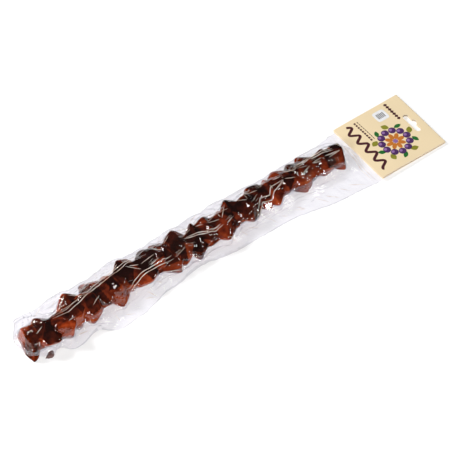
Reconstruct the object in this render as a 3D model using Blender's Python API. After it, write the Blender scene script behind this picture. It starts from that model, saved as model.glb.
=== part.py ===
"""A churchkhela sealed in a clear vacuum pouch that hangs from a folded card.

The churchkhela is a string of walnut halves dipped in thickened grape juice. The pouch is two films,
sealed together along their edges and drawn tight over the nuts. The card is folded over its top end.
The pack lies with its front up. X runs along it, from the bottom seal to the card's fold, Z is up, and
the origin is on the surface that it lies on, under the middle of its box.
"""

import math
import random

import bmesh
import bpy
import numpy as np
from mathutils import Euler, Vector

MM = 0.001

PACK_LENGTH = 506 * MM
CARD_WIDTH = 80 * MM
CARD_LENGTH = 81 * MM
BOTTOM_SEAL_X = -PACK_LENGTH / 2
FOLD_X = PACK_LENGTH / 2
CARD_X = FOLD_X - CARD_LENGTH

FILM = 0.8 * MM
POUCH_TOP_X = CARD_X + 14 * MM
SEAL_X = CARD_X - 5 * MM

CARD_SHEET = 0.5 * MM
CARD_GAP = 1.6 * MM
CARD_EDGE_Z = 4.0 * MM
CARD_FOLD_Z = 2.2 * MM
CARD_CURL = 0.7 * MM

SLOT_WIDTH = 26 * MM
SLOT_HEIGHT = 6 * MM
SLOT_BUMP_RADIUS = 4.5 * MM
SLOT_FROM_FOLD = 12 * MM

NUTS = 24
FIRST_NUT_X = BOTTOM_SEAL_X + 12.5 * MM
THICK_END_PITCH = 18.2 * MM
THIN_END_PITCH = 16.1 * MM
PITCH_STRAY = 1.3 * MM
NUT_HALF_LENGTH = 10.5 * MM
NUT_HALF_WIDTH = 14.0 * MM
NUT_HALF_HEIGHT = 13.4 * MM
NUT_STEP_ASIDE = 4.6 * MM
NUT_POWER = 2.7
THICK_END = 1.08
THIN_END = 0.81
NUT_SIZE_RANGE = (0.94, 1.05)
NUT_TURN_RANGE = (0.5, 0.25, 0.35)
NUT_SEED = 11

STRING_Y_AT_THICK_END = -1 * MM
STRING_Y_AT_THIN_END = 9.5 * MM
TABLE_DENT = 1.5 * MM

# The seam between the films leaves the nuts at half their height and droops to the surface.
WING_EDGE_Z = 3.0 * MM
WING_ROOT_Z = 12.0 * MM
WING_ROOT = 15 * MM
WING_REACH = 24 * MM
WING_WAVE = 0.7 * MM
LAST_NUT_TO_CARD = 34 * MM
LEVEL_BEFORE_CARD = 4 * MM

# The pouch's long edges, as distances from the bottom seal and from the middle of the card. The film
# is drawn in most where the nuts are thick.
FAR_EDGE = ((0, 40), (66, 36), (140, 38), (196, 36), (256, 38), (324, 35), (381, 34), (425, 39.4))
NEAR_EDGE = (
    (0, -20), (30, -18), (48, -28), (79, -21), (100, -35), (122, -33), (169, -23),
    (211, -18), (258, -24), (314, -24), (392, -36), (425, -39.4),
)
FAR_CORNER_BACK = 18 * MM
NEAR_CORNER_BACK = 8 * MM
CORNER_FADE = 70 * MM

STATIONS = 106
ACROSS = 20
ROUNDS = 260
START_GAP = 8 * MM
PULL_ACROSS = 0.32
PULL_ALONG = 0.18
PRESS = 0.35 * MM


def ease(share):
    """A share from 0 to 1, eased at both ends."""
    share = np.clip(share, 0, 1)
    return share * share * (3 - 2 * share)


def through(points, x):
    """A smooth curve through (distance from the bottom seal, y) points in millimetres, in metres at x."""
    along = (np.asarray(x) - BOTTOM_SEAL_X) / MM
    y = np.full(along.shape, float(points[0][1]))
    for (start, low), (end, high) in zip(points, points[1:]):
        y = np.where(along > start, low + (high - low) * ease((along - start) / (end - start)), y)
    return y * MM


def string_y(x):
    """Where the string runs: it leaves the pack's middle line towards the thin end."""
    share = (x - BOTTOM_SEAL_X) / (CARD_X - BOTTOM_SEAL_X)
    return STRING_Y_AT_THICK_END + (STRING_Y_AT_THIN_END - STRING_Y_AT_THICK_END) * share


def card_z(x, y):
    """Height of the card's middle layer: nearly flat on the surface, a little curled."""
    down = ease((x - CARD_X) / CARD_LENGTH)
    side = y / (CARD_WIDTH / 2)
    curl = CARD_CURL * np.sin(math.pi * (side + 0.25)) * (1 - 0.6 * down)
    return CARD_EDGE_Z * (1 - down) + CARD_FOLD_Z * down + curl


def wing_z(x, y):
    """Height of the seam between the two films beside the nuts, drooping towards the edges."""
    aside = np.abs(y - string_y(x))
    droop = ease((aside - WING_ROOT) / WING_REACH)
    wave = WING_WAVE * np.sin(x / (11 * MM) + y / (9 * MM)) * droop
    return WING_ROOT_Z + (WING_EDGE_Z - WING_ROOT_Z) * droop + wave


def seam_z(x, y):
    """Height of the layer between the two films, anywhere in the pack."""
    towards_card = ease((x - CARD_X + LAST_NUT_TO_CARD) / (LAST_NUT_TO_CARD - LEVEL_BEFORE_CARD))
    return wing_z(x, y) * (1 - towards_card) + card_z(x, y) * towards_card


class Nut:
    """A walnut half in its juice: a rounded block, turned on the string, flat where it lies."""

    def __init__(self, number, rng):
        share = number / (NUTS - 1)
        size = THICK_END + (THIN_END - THICK_END) * share**1.3
        size *= rng.uniform(*NUT_SIZE_RANGE)
        pitch = THICK_END_PITCH + (THIN_END_PITCH - THICK_END_PITCH) * share / 2
        x = FIRST_NUT_X + pitch * number + rng.uniform(-1, 1) * PITCH_STRAY
        aside = NUT_STEP_ASIDE * size * (1 if number % 2 else -1)
        self.radii = np.array([NUT_HALF_LENGTH, NUT_HALF_WIDTH, NUT_HALF_HEIGHT]) * size
        turn = Euler([rng.uniform(-most, most) for most in NUT_TURN_RANGE])
        self.turn = np.array(turn.to_matrix())
        self.centre = np.array([x, string_y(x) + aside, self.radii[2] - TABLE_DENT])

    def press_out(self, points, skin):
        """Moves the points that are inside the nut, or nearer than the skin, out to the skin."""
        local = (points - self.centre) @ self.turn / self.radii
        power = np.abs(local) ** NUT_POWER
        reach = power.sum(axis=-1) ** (1 / NUT_POWER)
        slope = np.sign(local) * np.abs(local) ** (NUT_POWER - 1) / self.radii
        slope /= np.linalg.norm(slope, axis=-1, keepdims=True) + 1e-9
        outward = slope @ self.turn.T
        gap = (reach - 1) * self.radii.mean() - skin
        inside = gap < 0
        points[inside] -= outward[inside] * gap[inside][:, None]


def film_sheet():
    """One film, lying flat in the seam: an array of points, stations along X by points across."""
    x = np.linspace(BOTTOM_SEAL_X, POUCH_TOP_X, STATIONS)
    share = np.linspace(0, 1, ACROSS)
    near, far = through(NEAR_EDGE, x), through(FAR_EDGE, x)
    y = near[:, None] + (far - near)[:, None] * share[None, :]
    corners = FAR_CORNER_BACK * ease((share - 0.5) / 0.5) + NEAR_CORNER_BACK * ease((0.25 - share) / 0.25)
    fade = (1 - ease((x - BOTTOM_SEAL_X) / CORNER_FADE)) ** 2
    x = x[:, None] + corners[None, :] * fade[:, None]
    return np.stack([x, y, seam_z(x, y)], axis=-1)


def draw_tight(film, front, nuts):
    """Draws a film over the nuts, as the vacuum does. front is 1 for the upper film and -1 for the lower."""
    film = film.copy()
    film[1:-1, 1:-1, 2] += front * START_GAP
    for _ in range(ROUNDS):
        beside = film[1:-1, :-2] + film[1:-1, 2:]
        along = film[:-2, 1:-1] + film[2:, 1:-1]
        film[1:-1, 1:-1, 1:] = (PULL_ACROSS * beside + PULL_ALONG * along)[..., 1:]
        film[1:-1, 1:-1, 2] -= front * PRESS
        for nut in nuts:
            near = np.abs(film[:, ACROSS // 2, 0] - nut.centre[0]) < 1.5 * nut.radii.max()
            stretch = film[near]
            nut.press_out(stretch, FILM / 2)
            film[near, 1:-1, 1:] = stretch[:, 1:-1, 1:]
        seam = seam_z(film[..., 0], film[..., 1])
        lift = np.maximum(front * (film[..., 2] - seam), FILM / 2)
        lift[film[..., 0] > SEAL_X] = FILM / 2
        film[..., 2] = np.maximum(seam + front * lift, 0)
    return film


def paint(obj, name, colour, roughness):
    """Gives an object its own plain material."""
    material = bpy.data.materials.new(name)
    material.use_nodes = True
    shader = material.node_tree.nodes["Principled BSDF"]
    shader.inputs["Base Color"].default_value = (*colour, 1)
    shader.inputs["Roughness"].default_value = roughness
    obj.data.materials.append(material)


def as_object(bm, name):
    """Turns a bmesh into a named object with its faces pointing out."""
    bmesh.ops.recalc_face_normals(bm, faces=bm.faces)
    mesh = bpy.data.meshes.new(name)
    bm.to_mesh(mesh)
    bm.free()
    obj = bpy.data.objects.new(name, mesh)
    bpy.context.scene.collection.objects.link(obj)
    return obj


def make_pouch():
    """The sealed pouch with the churchkhela in it, as one solid out to the films."""
    rng = random.Random(NUT_SEED)
    nuts = [Nut(number, rng) for number in range(NUTS)]
    flat = film_sheet()
    upper = draw_tight(flat, 1, nuts)
    lower = draw_tight(flat, -1, nuts)
    bm = bmesh.new()
    bmesh.ops.create_grid(bm, x_segments=STATIONS - 1, y_segments=ACROSS - 1, size=1)
    place = bm.verts.layers.int.new("place")
    ordered = sorted(bm.verts, key=lambda v: (round(v.co.x, 5), round(v.co.y, 5)))
    for number, vert in enumerate(ordered):
        vert[place] = number
    below = set(bm.verts)
    bmesh.ops.extrude_face_region(bm, geom=bm.faces[:])
    for vert in bm.verts:
        sheet = lower if vert in below else upper
        vert.co = Vector(sheet[divmod(vert[place], ACROSS)])
    pouch = as_object(bm, "vacuum_pouch")
    pouch.data.shade_smooth()
    paint(pouch, "churchkhela in clear film", (0.13, 0.03, 0.014), 0.25)
    return pouch


def slot_outline():
    """The hanging slot's outline round its middle: two round ends and a round bump towards the fold."""
    end = SLOT_HEIGHT / 2
    reach = SLOT_WIDTH / 2 - end
    points = []
    for step in range(9):
        angle = math.pi * step / 8
        points.append((-end * math.cos(angle), reach + end * math.sin(angle)))
    for step in range(9):
        angle = math.pi * (0.12 + 0.76 * step / 8)
        rise = end - 0.5 * SLOT_BUMP_RADIUS + SLOT_BUMP_RADIUS * math.sin(angle)
        points.append((rise, SLOT_BUMP_RADIUS * math.cos(angle)))
    for step in range(9):
        angle = math.pi * step / 8
        points.append((end * math.cos(angle), -reach - end * math.sin(angle)))
    return points


def make_slot_cutter():
    """The punch that cuts the hanging slot through both of the card's panels."""
    bm = bmesh.new()
    middle = FOLD_X - SLOT_FROM_FOLD
    outline = [bm.verts.new((middle + x, y, -20 * MM)) for x, y in slot_outline()]
    face = bm.faces.new(outline)
    made = bmesh.ops.extrude_face_region(bm, geom=[face])["geom"]
    top = [item for item in made if isinstance(item, bmesh.types.BMVert)]
    bmesh.ops.translate(bm, verts=top, vec=(0, 0, 60 * MM))
    cutter = as_object(bm, "slot_punch")
    cutter.hide_render = True
    cutter.display_type = "WIRE"
    return cutter


def make_card():
    """The card: one sheet folded over the pouch's top, its front and back panels held a little apart."""
    outside = CARD_GAP / 2 + CARD_SHEET
    inside = CARD_GAP / 2
    steps = 8
    straight = [CARD_X + (CARD_LENGTH - outside) * step / steps for step in range(steps + 1)]
    fold_x = straight[-1]
    turns = [math.pi * (0.5 - turn / 6) for turn in range(1, 6)]
    outer = [(x, outside) for x in straight]
    outer += [(fold_x + outside * math.cos(turn), outside * math.sin(turn)) for turn in turns]
    outer += [(x, -outside) for x in reversed(straight)]
    inner = [(x, -inside) for x in straight]
    inner += [(fold_x + inside * math.cos(turn), inside * math.sin(turn)) for turn in reversed(turns)]
    inner += [(x, inside) for x in reversed(straight)]
    bm = bmesh.new()
    profile = bm.faces.new([bm.verts.new((x, -CARD_WIDTH / 2, z)) for x, z in outer + inner])
    made = bmesh.ops.extrude_face_region(bm, geom=[profile])["geom"]
    far_side = [item for item in made if isinstance(item, bmesh.types.BMVert)]
    bmesh.ops.translate(bm, verts=far_side, vec=(0, CARD_WIDTH, 0))
    columns = 10
    for column in range(1, columns):
        cut_y = CARD_WIDTH * (column / columns - 0.5)
        everything = bm.verts[:] + bm.edges[:] + bm.faces[:]
        bmesh.ops.bisect_plane(bm, geom=everything, plane_co=(0, cut_y, 0), plane_no=(0, 1, 0))
    for vert in bm.verts:
        vert.co.z += float(card_z(vert.co.x, vert.co.y))
    bmesh.ops.triangulate(bm, faces=bm.faces)
    card = as_object(bm, "header_card")
    punch = card.modifiers.new("hanging slot", "BOOLEAN")
    punch.object = make_slot_cutter()
    paint(card, "cream card", (0.87, 0.72, 0.47), 0.5)
    return card


def main():
    for obj in list(bpy.data.objects):
        bpy.data.objects.remove(obj, do_unlink=True)
    make_pouch()
    make_card()


main()
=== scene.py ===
"""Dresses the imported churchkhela: dipped walnut halves in clear film drawn tight by vacuum, and its card.

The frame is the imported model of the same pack. X runs along the pack, from the bottom seal to the
card's fold, Y across it and Z up. It lies on the floor with its front up. Sizes are in metres.
"""

import math
import random

import bmesh
import bpy
import numpy as np
from bpy.props import FloatProperty, FloatVectorProperty, IntProperty, PointerProperty
from mathutils import Euler, Matrix, Vector
from mathutils.bvhtree import BVHTree


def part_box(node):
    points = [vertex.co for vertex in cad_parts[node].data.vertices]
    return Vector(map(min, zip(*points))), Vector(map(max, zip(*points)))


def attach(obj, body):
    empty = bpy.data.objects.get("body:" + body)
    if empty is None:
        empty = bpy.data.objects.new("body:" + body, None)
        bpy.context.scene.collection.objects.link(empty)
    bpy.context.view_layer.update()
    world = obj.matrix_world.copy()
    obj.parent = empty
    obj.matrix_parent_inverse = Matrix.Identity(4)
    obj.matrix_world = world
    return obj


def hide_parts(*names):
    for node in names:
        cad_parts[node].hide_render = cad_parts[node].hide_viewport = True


bl_info = {
    "name": "Churchkhela in a vacuum pouch",
    "version": (1, 0, 0),
    "blender": (4, 5, 0),
    "location": "View3D > Sidebar > Churchkhela",
    "description": "Makes dipped walnut halves in a clear vacuum pouch with a header card",
    "category": "Add Mesh",
}

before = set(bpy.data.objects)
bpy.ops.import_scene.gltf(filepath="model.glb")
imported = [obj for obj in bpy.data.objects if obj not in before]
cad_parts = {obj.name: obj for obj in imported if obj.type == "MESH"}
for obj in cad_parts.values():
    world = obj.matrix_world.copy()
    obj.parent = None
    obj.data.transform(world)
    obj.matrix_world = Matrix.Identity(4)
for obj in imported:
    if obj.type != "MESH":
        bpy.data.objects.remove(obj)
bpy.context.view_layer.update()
MM = 0.001
POUCH_LOW, POUCH_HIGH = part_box("vacuum_pouch")
CARD_LOW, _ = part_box("header_card")
RAY_START = 0.1
SAME_PLACE = 0.002 * MM


# Sizes and colours that a user would change


def length(name, default, description):
    """A property that holds a length in metres."""
    return FloatProperty(name=name, default=default, description=description, unit="LENGTH", precision=4)


def angle(name, degrees, description):
    """A property that holds an angle."""
    return FloatProperty(name=name, default=math.radians(degrees), description=description, subtype="ANGLE")


def colour(name, default, description):
    """A property that holds a linear colour."""
    return FloatVectorProperty(name=name, default=default, description=description, subtype="COLOR", size=3)


class NutSettings(bpy.types.PropertyGroup):
    """The string of dipped walnut halves."""

    count: IntProperty(name="Nuts", default=24, description="Walnut halves on the string")
    first: length("First nut", 10.8 * MM, "From the bottom seal to the first nut's middle")
    thick_pitch: length("Thick end pitch", 18.0 * MM, "From nut to nut at the thick end")
    thin_pitch: length("Thin end pitch", 16.1 * MM, "From nut to nut at the thin end")
    half_length: length("Half length", 13.5 * MM, "Half a nut's length along the string")
    half_width: length("Half width", 14.0 * MM, "Half a nut's width across the pack")
    half_height: length("Half height", 13.4 * MM, "Half a nut's height")
    step_aside: length("Step aside", 2.8 * MM, "How far each nut is off the string, by turns to either side")
    dent: length("Dent", 1.5 * MM, "How far a nut is flattened where it lies")
    core: FloatProperty(name="Core", default=0.97, description="Juice round the string, in nut heights")
    voxel: length("Grain", 0.78 * MM, "Mesh size of the dipped nuts")


class FilmSettings(bpy.types.PropertyGroup):
    """The clear pouch."""

    cell: length("Cell", 1.0 * MM, "Mesh size of the film")
    width: length("Width", 86 * MM, "The pouch's width before the vacuum")
    slack: FloatProperty(name="Slack", default=1.06, description="Film length for each metre of pack")
    skin: length("Skin", 0.45 * MM, "From the nuts to the film's middle")
    seal: length("Seal", 4 * MM, "Width of the welded edge")
    rounds: IntProperty(name="Rounds", default=420, description="Steps that draw the film tight")


class InkSettings(bpy.types.PropertyGroup):
    """The colours printed on the card."""

    cream: colour("Cream", (0.93, 0.755, 0.485), "The card's ground")
    brown: colour("Brown", (0.075, 0.016, 0.022), "The ornament and the small bars")
    purple: colour("Purple", (0.085, 0.03, 0.13), "The dark discs")
    lilac: colour("Lilac", (0.32, 0.17, 0.42), "The discs' light spots")
    olive: colour("Olive", (0.28, 0.27, 0.03), "The broad leaves")
    green: colour("Green", (0.02, 0.16, 0.03), "The small leaves")
    amber: colour("Amber", (0.62, 0.2, 0.03), "The ovals")
    white: colour("White", (0.95, 0.95, 0.96), "The label's ground")
    grey: colour("Grey", (0.06, 0.06, 0.06), "The label's bars")


class StageSettings(bpy.types.PropertyGroup):
    """The camera, as the photograph was taken."""

    azimuth: angle("Azimuth", 38, "Turn of the view from +Y to +X")
    elevation: angle("Elevation", 48.7, "Height of the view")
    distance: length("Distance", 20.0, "From the camera to the pack")
    view_width: length("View width", 0.456, "Width that the picture takes in at the pack")
    middle_x: length("Middle X", 11 * MM, "Where the picture's middle meets the floor")
    middle_y: length("Middle Y", 5.5 * MM, "Where the picture's middle meets the floor")


class PackSettings(bpy.types.PropertyGroup):
    """All settings of the pack."""

    nuts: PointerProperty(type=NutSettings)
    film: PointerProperty(type=FilmSettings)
    ink: PointerProperty(type=InkSettings)
    stage: PointerProperty(type=StageSettings)


# Shared helpers


def ease(share):
    """A share from 0 to 1, eased at both ends."""
    share = np.clip(share, 0, 1)
    return share * share * (3 - 2 * share)


def unit(ways):
    """Vectors of length 1 along the rows of an array."""
    return ways / (np.linalg.norm(ways, axis=-1, keepdims=True) + 1e-12)


def cleaned(bm):
    """Joins the points of a mesh that lie on each other, and turns its faces outwards."""
    bmesh.ops.remove_doubles(bm, verts=bm.verts, dist=SAME_PLACE)
    bmesh.ops.recalc_face_normals(bm, faces=bm.faces)
    return bm


def as_mesh(bm, name):
    """Turns a bmesh into a mesh."""
    mesh = bpy.data.meshes.new(name)
    bm.to_mesh(mesh)
    bm.free()
    return mesh


def add_object(name, data):
    """A new object in the scene."""
    added = bpy.data.objects.new(name, data)
    bpy.context.scene.collection.objects.link(added)
    return added


def as_object(bm, name, material, replaces=()):
    """Turns a bmesh into a finished piece of the pack."""
    mesh = as_mesh(bm, name)
    mesh.shade_smooth()
    mesh.materials.append(material)
    piece = add_object(name, mesh)
    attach(piece, "root")
    if replaces:
        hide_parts(*replaces)
    return piece


def mesh_points(mesh):
    """The places of a mesh's vertices, as an array."""
    points = np.empty(len(mesh.vertices) * 3, np.float32)
    mesh.vertices.foreach_get("co", points)
    return points.reshape(-1, 3)


def store(mesh, name, values):
    """Stores a value for each vertex as an attribute, which the material reads."""
    mesh.attributes.new(name, "FLOAT", "POINT").data.foreach_set("value", values.astype(np.float32))


def tree_of(mesh):
    """A mesh as a tree that rays can be cast at."""
    solid = bmesh.new()
    solid.from_mesh(mesh)
    tree = BVHTree.FromBMesh(solid)
    solid.free()
    return tree


def meet(tree, x, y, side=1):
    """Where a straight ray from above, or from below with side -1, meets the tree, and the normal there."""
    hit, normal, *_ = tree.ray_cast(Vector((x, y, side * RAY_START)), Vector((0, 0, -side)))
    return hit, normal


class Shader:
    """A small builder for one material's nodes."""

    def __init__(self, name):
        self.material = bpy.data.materials.new(name)
        self.material.use_nodes = True
        self.tree = self.material.node_tree
        self.tree.nodes.clear()
        self.output = self.tree.nodes.new("ShaderNodeOutputMaterial")

    def node(self, kind, links=None, **values):
        """Adds a node. links maps its inputs to sockets or values, and values are its own settings."""
        node = self.tree.nodes.new(kind)
        for name, value in values.items():
            setattr(node, name, value)
        for name, value in (links or {}).items():
            if isinstance(value, bpy.types.NodeSocket):
                self.tree.links.new(value, node.inputs[name])
            else:
                node.inputs[name].default_value = value
        return node

    def ramp(self, factor, *stops):
        """A colour ramp over (position, colour) stops."""
        node = self.node("ShaderNodeValToRGB", {"Fac": factor})
        elements = node.color_ramp.elements
        while len(elements) < len(stops):
            elements.new(0.5)
        for element, (position, rgb) in zip(elements, stops):
            element.position = position
            element.color = (*rgb, 1)
        return node.outputs["Color"]

    def place(self, stretch):
        """The object's own coordinates, which make a pattern finer along the stretched axes."""
        place = self.node("ShaderNodeTexCoord").outputs["Object"]
        return self.node("ShaderNodeMapping", {"Vector": place, "Scale": stretch}).outputs["Vector"]

    def noise(self, scale, detail=3.0, stretch=(1, 1, 1), distortion=0.0):
        """Noise, scale in cells per metre."""
        inputs = {"Vector": self.place(stretch), "Scale": scale, "Detail": detail, "Distortion": distortion}
        return self.node("ShaderNodeTexNoise", inputs).outputs["Fac"]

    def roofs(self, scale, stretch=(1, 1, 1)):
        """Roofs with flat sides that meet in straight ridges, scale in roofs per metre."""
        inputs = {"Vector": self.place(stretch), "Scale": scale}
        return self.node("ShaderNodeTexVoronoi", inputs, feature="DISTANCE_TO_EDGE").outputs["Distance"]

    def bump(self, height, strength, distance, over=None):
        """A bump from a height, over another bump if one is given."""
        inputs = {"Height": height, "Strength": strength, "Distance": distance}
        if over:
            inputs["Normal"] = over
        return self.node("ShaderNodeBump", inputs).outputs["Normal"]

    def calculate(self, operation, *values):
        """The result of one sum, product or other operation on sockets and values."""
        return self.node("ShaderNodeMath", dict(enumerate(values)), operation=operation).outputs[0]

    def finish(self, shader):
        """Sends a shader to the surface and returns the material."""
        self.tree.links.new(shader.outputs[0], self.output.inputs["Surface"])
        return self.material

    def plain(self, inputs):
        """Sends a principled shader with these inputs to the surface and returns the material."""
        return self.finish(self.node("ShaderNodeBsdfPrincipled", inputs))


# The dipped walnut halves

NUT_SIZES = (1.08, 0.81)
NUT_SIZE_FADE = 1.3
NUT_SIZE_RANGE = (0.94, 1.05)
NUT_TURN_RANGE = (0.5, 0.25, 0.35)
NUT_SEED = 11
PITCH_STRAY = 1.3 * MM
FLOOR_GAP = 0.3 * MM
STRING_LINE = (
    (-253, -1), (-240, -0.7), (-222, -2.8), (-200, -0.5), (-167, 4), (-119, 7.5), (-83, 5.5), (-59, 3.8),
    (-20, 4.8), (13, 6.7), (61, 10.8), (90, 11), (115, 9), (139, 11.5), (157, 9.1),
)
STRING_WIDTHS = (
    (-240, 1.1), (-203, 1.3), (-125, 1.28), (-107, 1.12), (-85, 1.2), (-59, 1.46), (10, 1.46), (32, 1.22),
    (97, 1.26), (115, 1.16), (157, 1.05),
)
RIM_CORNERS = (5, 6)
RIM_STRAY = 0.3
RIM_REACH = (0.9, 1.1)
FLANK_TILT = (0.2, 0.75)
# The first and the last nut: radii, step aside, turn, and -1 where the facets are mirrored
FIRST_NUT = ((7.0 * MM, 15.5 * MM, 13.3 * MM), 2 * MM, -0.3, 1)
LAST_NUT = ((7.0 * MM, 11.0 * MM, 11.3 * MM), -1.8 * MM, math.pi - 0.12, -1)
END_FACETS = (
    (-1, 0.05, 0.12), (1, 0, 0.2), (0, 1, 0.35), (0.35, -1, 0.25), (-0.1, 0.25, 1), (0.25, -0.5, 1),
    (0, 0, -1), (-0.75, -0.7, 0.25), (0.7, -0.75, 0.2),
)
CORE_SEED = 4
CORE_SIDES = 7
CORE_STRAY = (0.88, 1.04)
CORE_OVERLAP = 1.25
CORE_AVERAGE = 5
# The juice's tone: a random tone for each facet, painted shade on facets that look up and in the hollows
# between nuts, and a painted glow towards the nuts' sides.
TONE_SEED = 2
TONE_START = 0.5
UP_FACET_PAINTED_SHADE = 0.35
TONE_STRAY = 0.3
SIDE_PAINTED_GLOW = 0.35
TONE_MIDDLE = 0.4
HOLLOW_DEPTH = 0.25
HOLLOW_PAINTED_SHADE = 0.6


def along_string(x, table):
    """The table's value at x. Its rows hold a place in millimetres and the value there."""
    return np.interp(x, *np.array(table).T * [[MM], [1]])


def string_y(x):
    """Where the string runs, off the pack's middle line towards the thin end."""
    return along_string(x, STRING_LINE) * MM


class Lump:
    """A block with flat facets and rounded edges, which the film is pressed onto."""

    def __init__(self, centre, radii, turn, facets):
        self.centre = np.array(centre)
        self.radii = np.array(radii)
        self.turn = np.array(turn.to_matrix())
        self.facets = np.array(facets)

    def reach(self, local):
        """How far points are out, as a share of the way to the surface, and the way out."""
        along = np.maximum(local @ self.facets.T, 0)
        fourth = along**4
        twelfth = fourth**3
        slope = (twelfth * along**3) @ self.facets
        return ((twelfth * fourth).sum(axis=-1) + 1e-20) ** (1 / 16), slope

    def press_out(self, points, skin):
        """Moves the points that are nearer than the skin out to it, in place."""
        local = (points - self.centre) @ self.turn / self.radii
        reach, slope = self.reach(local)
        gap = (reach - 1) * self.radii.mean() - skin
        inside = gap < 0
        outward = unit((slope[inside] / self.radii) @ self.turn.T)
        points[inside] -= outward * gap[inside][:, None]

    def surface(self, directions):
        """The block's surface along unit directions from its middle."""
        reach, _ = self.reach(directions)
        return (directions / reach[:, None] * self.radii) @ self.turn.T + self.centre

    def add_to(self, bm, subdivisions):
        """Adds the block to a bmesh, flattened where it would go below the floor."""
        made = bmesh.ops.create_icosphere(bm, subdivisions=subdivisions, radius=1)["verts"]
        directions = np.array([vert.co for vert in made])
        directions /= np.linalg.norm(directions, axis=1, keepdims=True)
        for vert, (x, y, z) in zip(made, self.surface(directions)):
            vert.co = (x, y, max(z, FLOOR_GAP))


def nut_facets(rng):
    """The facets of a walnut half: flanks that meet in a cornered rim round its middle, and two ends."""
    corners = rng.randint(*RIM_CORNERS)
    facets = [Vector((side, 0, 0)) for side in (-1, 1)]
    start = rng.uniform(0, math.tau)
    for number in range(corners):
        angle = start + (number + rng.uniform(-RIM_STRAY, RIM_STRAY)) * math.tau / corners
        out = rng.uniform(*RIM_REACH)
        for side in (-1, 1):
            tilt = rng.uniform(*FLANK_TILT)
            facets.append(Vector((side * tilt, math.cos(angle), math.sin(angle))) / out)
    return facets


def make_nut(number, rng, sizes):
    """One walnut half in its juice, in its place on the string."""
    share = number / (sizes.count - 1)
    size = NUT_SIZES[0] + (NUT_SIZES[1] - NUT_SIZES[0]) * share**NUT_SIZE_FADE
    size *= rng.uniform(*NUT_SIZE_RANGE)
    pitch = sizes.thick_pitch + (sizes.thin_pitch - sizes.thick_pitch) * share / 2
    x = POUCH_LOW.x + sizes.first + pitch * number + rng.uniform(-1, 1) * PITCH_STRAY
    aside = sizes.step_aside * size * (1 if number % 2 else -1)
    radii = Vector((sizes.half_length, sizes.half_width, sizes.half_height)) * size
    radii.y *= along_string(x, STRING_WIDTHS)
    turn = Euler([rng.uniform(-most, most) for most in NUT_TURN_RANGE])
    if number in (0, sizes.count - 1):
        radii, aside, turn, side = FIRST_NUT if number == 0 else LAST_NUT
        facets = [(x_way, y_way * side, z_way) for x_way, y_way, z_way in END_FACETS]
        turn = Euler((0, 0, turn))
    else:
        facets = nut_facets(random.Random(number))
    return Lump((x, string_y(x) + aside, radii[2] - sizes.dent), radii, turn, facets)


def all_nuts(sizes):
    """The nuts, from the thick end to the thin one."""
    rng = random.Random(NUT_SEED)
    return [make_nut(number, rng, sizes) for number in range(sizes.count)]


def core_line(nuts, sizes):
    """The juice round the string: its points and its radius at each."""
    points = np.array([(nut.centre[0], string_y(nut.centre[0]), nut.centre[2]) for nut in nuts])
    radii = np.array([nut.radii[2] for nut in nuts])
    padded = np.pad(radii, CORE_AVERAGE // 2, mode="edge")
    even = np.convolve(padded, np.ones(CORE_AVERAGE) / CORE_AVERAGE, mode="valid")
    return points, even * sizes.core


def core_radius(x, line):
    """The radius of the juice round the string at x."""
    points, radii = line
    return np.interp(x, points[:, 0], radii)


def juice_material():
    """Dark set grape juice, coloured from its stored tone: near black on faces that look up and in the
    hollows between nuts, which is painted shade, and red-brown towards the nuts' flanks and corners, which
    is a painted glow, over patches of the juice's own uneven tone.
    """
    shader = Shader("grape_juice_painted_light")
    tone = shader.node("ShaderNodeAttribute", attribute_name="tone").outputs["Fac"]
    patches = shader.noise(150, 4)
    spread = shader.calculate("MULTIPLY_ADD", patches, 1.1, -0.55)
    # The tone's painted shade and glow become near black to red-brown here.
    tint = shader.ramp(
        shader.calculate("ADD", tone, spread),
        (0.0, (0.012, 0.002, 0.001)),
        (0.3, (0.055, 0.007, 0.002)),
        (0.55, (0.19, 0.023, 0.005)),
        (0.8, (0.34, 0.05, 0.013)),
        (1.0, (0.46, 0.09, 0.028)),
    )
    skin = shader.bump(shader.noise(500, 4), 0.3, 0.3 * MM)
    inputs = {"Base Color": tint, "Roughness": 0.5, "Specular IOR Level": 0.0, "Normal": skin}
    return shader.plain(inputs)


def one_skin(bm, grain):
    """Joins closed shapes that overlap to one skin, as a new bmesh."""
    loose = add_object("loose_shapes", as_mesh(bm, "loose_shapes"))
    skin = loose.modifiers.new("one skin", "REMESH")
    skin.mode = "VOXEL"
    skin.voxel_size = grain
    evaluated = loose.evaluated_get(bpy.context.evaluated_depsgraph_get())
    joined = bmesh.new()
    joined.from_mesh(evaluated.to_mesh())
    mesh = loose.data
    bpy.data.objects.remove(loose, do_unlink=True)
    bpy.data.meshes.remove(mesh)
    axes = {"use_axis_x": True, "use_axis_y": True, "use_axis_z": True}
    bmesh.ops.smooth_vert(joined, verts=joined.verts, factor=0.5, **axes)
    bmesh.ops.recalc_face_normals(joined, faces=joined.faces)
    return joined


def make_dipped_nuts(sizes):
    """The churchkhela: all nuts, and the juice between them, as one skin."""
    nuts = all_nuts(sizes)
    bm = bmesh.new()
    for nut in nuts:
        nut.add_to(bm, 4)
    add_core(bm, *core_line(nuts, sizes))
    joined = one_skin(bm, sizes.voxel * (1))
    churchkhela = as_object(joined, "churchkhela", juice_material(), ["vacuum_pouch"])
    mark_tone_and_painted_light(churchkhela, nuts)


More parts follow.
